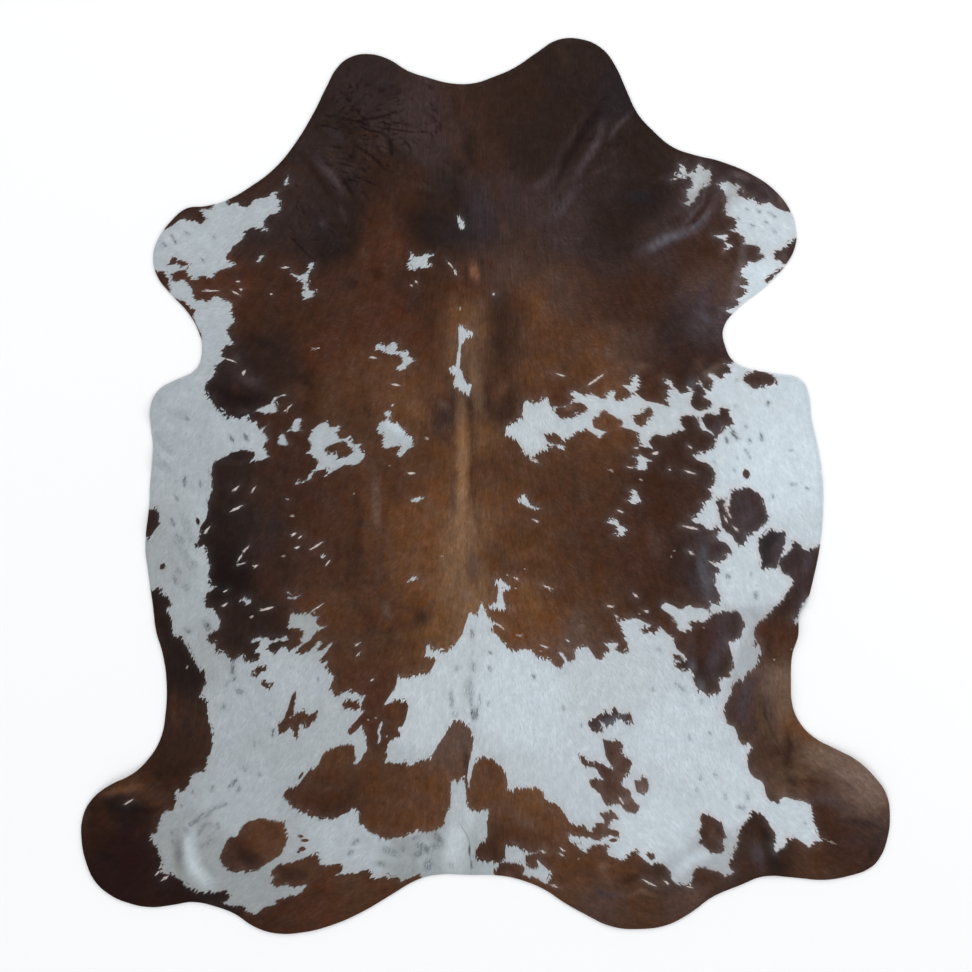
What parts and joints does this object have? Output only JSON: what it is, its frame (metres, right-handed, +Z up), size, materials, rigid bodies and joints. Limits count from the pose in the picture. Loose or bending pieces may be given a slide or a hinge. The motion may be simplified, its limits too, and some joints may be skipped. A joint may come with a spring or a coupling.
{
  "type": "cowhide rug",
  "caption": "Whole cowhide floor rug, hair side up, with the hide's natural outline, low folds and a thin cut edge. Lies flat on a floor.",
  "frame": {"origin": "centre of the bounding box, on the floor plane under the hide", "axes": "+Z up out of the hair side; +Y towards the neck; +X towards the right-hand legs seen from above with the neck away from the viewer"},
  "size_m": [2.0761, 2.3004, 0.0139],
  "materials": {
    "hide": "tanned hide with its short, flat-lying, slightly glossy hair in brown and white patches"
  },
  "bodies": {
    "root": {"cowhide": "hide"}
  },
  "joints": []
}
